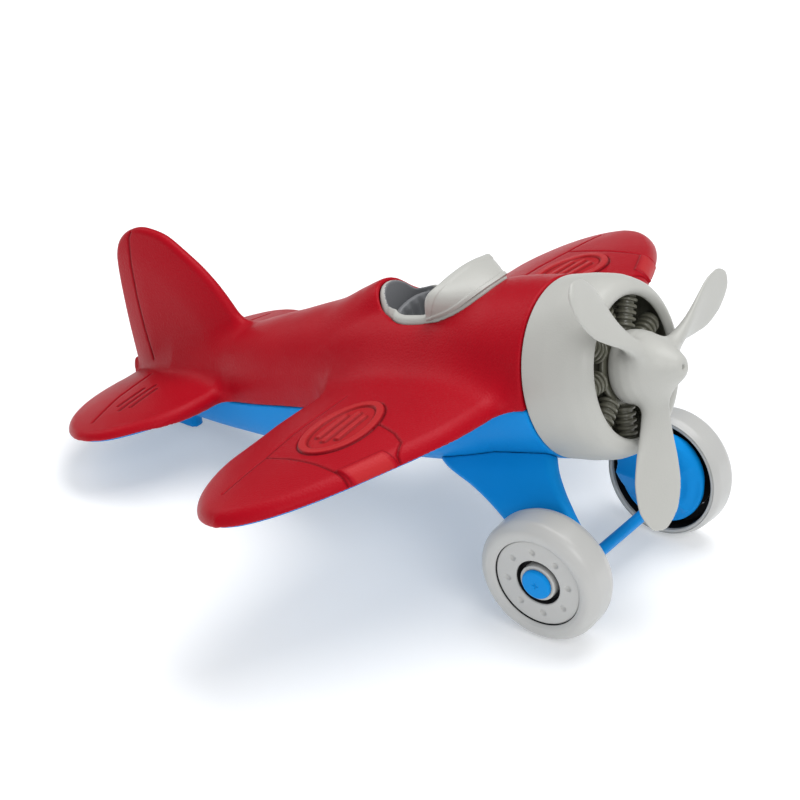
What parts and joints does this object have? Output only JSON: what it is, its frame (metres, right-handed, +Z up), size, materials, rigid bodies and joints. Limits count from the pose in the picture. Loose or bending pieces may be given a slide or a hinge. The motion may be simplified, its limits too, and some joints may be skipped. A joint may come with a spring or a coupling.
{
  "type": "toy airplane",
  "caption": "Free-standing moulded toy monoplane with a rounded body, radial engine in a round cowl, open cockpit, spinning propeller and two rolling wheels.",
  "frame": {"origin": "centre of the bounding box in plan, on the ground the toy stands on", "axes": "+X forwards to the nose, +Y to the toy's left wing tip, +Z up; the toy stands on both wheels and its tail skid, nose up"},
  "size_m": [0.2478, 0.2542, 0.1269],
  "materials": {
    "red_plastic": "fine matt texture",
    "blue_plastic": "satin",
    "grey_plastic": "satin",
    "wheel_plastic": "semi-gloss"
  },
  "bodies": {
    "airframe": {"upper_body": "red_plastic", "lower_body": "blue_plastic", "landing_gear": "blue_plastic", "cowl": "grey_plastic", "engine": "grey_plastic", "cockpit_insert": "grey_plastic", "windscreen": "grey_plastic", "axle_cap_right": "blue_plastic", "axle_cap_left": "blue_plastic"},
    "propeller": {"propeller": "grey_plastic", "propeller_shaft": "grey_plastic", "shaft_clip": "grey_plastic"},
    "wheel_right": {"tyre_right": "wheel_plastic", "wheel_disc_right": "wheel_plastic", "wheel_hub_right": "wheel_plastic"},
    "wheel_left": {"tyre_left": "wheel_plastic", "wheel_disc_left": "wheel_plastic", "wheel_hub_left": "wheel_plastic"}
  },
  "joints": [
    {"name": "propeller_spin", "type": "hinge", "parent": "airframe", "child": "propeller", "pos_m": [0.10678, 0, 0.08693], "axis": [0.9557, 0, 0.2944], "continuous": true},
    {"name": "wheel_right_spin", "type": "hinge", "parent": "airframe", "child": "wheel_right", "pos_m": [0.0932, -0.04106, 0.02284], "axis": [0.0223, -0.9971, -0.0731], "continuous": true},
    {"name": "wheel_left_spin", "type": "hinge", "parent": "airframe", "child": "wheel_left", "pos_m": [0.0932, 0.04106, 0.02284], "axis": [0.0223, 0.9971, -0.0731], "continuous": true}
  ]
}
